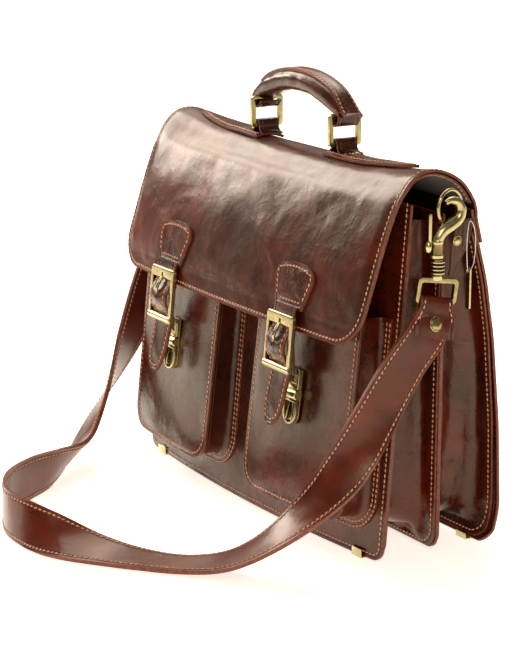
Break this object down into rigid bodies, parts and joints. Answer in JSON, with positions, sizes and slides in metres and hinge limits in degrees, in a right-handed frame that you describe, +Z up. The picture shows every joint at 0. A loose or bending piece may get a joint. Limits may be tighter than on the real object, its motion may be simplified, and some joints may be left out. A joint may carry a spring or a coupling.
{
  "type": "leather briefcase",
  "caption": "Leather flap-over briefcase with front pockets, buckled closure straps over clip locks, a ring-hung top handle and a shoulder strap on snap hooks.",
  "frame": {"origin": "middle of the base on the ground, under the briefcase without its shoulder strap", "axes": "+X to the right of someone facing the front, +Y to the back, +Z up"},
  "size_m": [0.4529, 0.3551, 0.3853],
  "materials": {
    "leather": "polished dark reddish-brown cowhide",
    "suede": "mid-brown flesh side, matt",
    "edge": "dyed and burnished cut edge",
    "thread": "waxed orange-tan thread",
    "brass": "antiqued brass, polished high spots",
    "steel_wire": "thin bright wire"
  },
  "bodies": {
    "root": {"front_panel": "leather", "back_panel": "leather", "divider_panel": "leather", "front_gusset": "leather", "rear_gusset": "leather", "flap_back_seam": "leather", "left_pocket_front": "leather", "left_pocket_gusset": "leather", "left_lock_plate": "brass", "left_side_tab": "leather", "left_tab_rivet": "brass", "left_hook_collar": "brass", "left_hook_bow": "brass", "left_strap_rivet": "brass", "front_left_edge_clip": "brass", "rear_left_edge_clip": "brass", "left_hook_body": "brass", "right_pocket_front": "leather", "right_pocket_gusset": "leather", "right_lock_plate": "brass", "right_side_tab": "leather", "right_tab_rivet": "brass", "right_hook_collar": "brass", "right_hook_bow": "brass", "right_strap_rivet": "brass", "front_right_edge_clip": "brass", "rear_right_edge_clip": "brass", "right_hook_body": "brass", "shoulder_strap": "leather"},
    "flap": {"flap_outer": "leather", "flap_lining": "suede", "left_shield": "leather", "left_closure_strap": "leather", "left_lock_tongue": "leather", "left_lock_fork": "brass", "left_handle_patch": "leather", "left_handle_loop": "leather", "left_patch_rivet": "brass", "right_shield": "leather", "right_closure_strap": "leather", "right_lock_tongue": "leather", "right_lock_fork": "brass", "right_handle_patch": "leather", "right_handle_loop": "leather", "right_patch_rivet": "brass"},
    "left_ring": {"left_handle_ring": "brass"},
    "handle": {"handle_grip": "leather"},
    "right_ring": {"right_handle_ring": "brass"},
    "key_wire": {"key_wire": "steel_wire"},
    "key": {"key": "brass"},
    "left_buckle": {"left_buckle": "brass"},
    "left_prong": {"left_buckle_prong": "brass"},
    "left_lever": {"left_lock_lever": "brass"},
    "left_bolt": {"left_hook_bolt": "brass"},
    "left_side_ring": {"left_side_ring": "brass"},
    "right_buckle": {"right_buckle": "brass"},
    "right_prong": {"right_buckle_prong": "brass"},
    "right_lever": {"right_lock_lever": "brass"},
    "right_bolt": {"right_hook_bolt": "brass"},
    "right_side_ring": {"right_side_ring": "brass"}
  },
  "joints": [
    {"name": "flap_hinge", "type": "hinge", "parent": "root", "child": "flap", "pos_m": [0, 0.054, 0.296], "axis": [-1, 0, 0], "range_deg": [0, 150]},
    {"name": "left_ring_hinge", "type": "hinge", "parent": "flap", "child": "left_ring", "pos_m": [-0.064, 0.014, 0.329], "axis": [0, 1, 0], "range_deg": [-35, 35]},
    {"name": "handle_hinge", "type": "hinge", "parent": "left_ring", "child": "handle", "pos_m": [-0.064, 0.014, 0.353], "axis": [0, 1, 0], "range_deg": [-35, 35]},
    {"name": "right_ring_hinge", "type": "hinge", "parent": "flap", "child": "right_ring", "pos_m": [0.064, 0.014, 0.329], "axis": [0, 1, 0], "range_deg": [-35, 35]},
    {"name": "left_buckle_hinge", "type": "hinge", "parent": "flap", "child": "left_buckle", "pos_m": [-0.102, -0.0704, 0.194], "axis": [-1, 0, 0], "range_deg": [0, 40]},
    {"name": "left_prong_hinge", "type": "hinge", "parent": "left_buckle", "child": "left_prong", "pos_m": [-0.102, -0.0734, 0.1875], "axis": [-1, 0, 0], "range_deg": [0, 50]},
    {"name": "left_lever_press", "type": "hinge", "parent": "root", "child": "left_lever", "pos_m": [-0.105, -0.0639, 0.1239], "axis": [1, 0, 0], "range_deg": [0, 7], "stiffness_Nm_per_rad": 0.02, "springref_deg": -5.73},
    {"name": "left_bolt_slide", "type": "slide", "parent": "root", "child": "left_bolt", "axis": [0, 0, -1], "range_m": [0, 0.007], "stiffness_N_per_m": 250, "springref_m": -0.002},
    {"name": "left_side_ring_hinge", "type": "hinge", "parent": "root", "child": "left_side_ring", "pos_m": [-0.205, 0.038, 0.29], "axis": [0, 0, 1], "range_deg": [-1, 3]},
    {"name": "right_buckle_hinge", "type": "hinge", "parent": "flap", "child": "right_buckle", "pos_m": [0.102, -0.0704, 0.194], "axis": [-1, 0, 0], "range_deg": [0, 40]},
    {"name": "right_prong_hinge", "type": "hinge", "parent": "right_buckle", "child": "right_prong", "pos_m": [0.102, -0.0734, 0.1875], "axis": [-1, 0, 0], "range_deg": [0, 50]},
    {"name": "right_lever_press", "type": "hinge", "parent": "root", "child": "right_lever", "pos_m": [0.105, -0.0639, 0.1239], "axis": [1, 0, 0], "range_deg": [0, 7], "stiffness_Nm_per_rad": 0.02, "springref_deg": -5.73},
    {"name": "right_bolt_slide", "type": "slide", "parent": "root", "child": "right_bolt", "axis": [0, 0, -1], "range_m": [0, 0.007], "stiffness_N_per_m": 250, "springref_m": -0.002},
    {"name": "right_side_ring_hinge", "type": "hinge", "parent": "root", "child": "right_side_ring", "pos_m": [0.205, 0.038, 0.29], "axis": [0, 0, 1], "range_deg": [-3, 1]},
    {"name": "key_wire_hinge", "type": "hinge", "parent": "root", "child": "key_wire", "pos_m": [0.2084, 0.042, 0.284], "axis": [1, 0, 0], "range_deg": [-4, 20]},
    {"name": "key_hinge", "type": "hinge", "parent": "key_wire", "child": "key", "pos_m": [0.2084, 0.042, 0.242], "axis": [0, 1, 0], "range_deg": [-20, 8]}
  ],
  "couplings": [
    {"joint": "handle_hinge", "follows": "left_ring_hinge", "ratio": -1},
    {"joint": "right_ring_hinge", "follows": "left_ring_hinge", "ratio": 1}
  ]
}
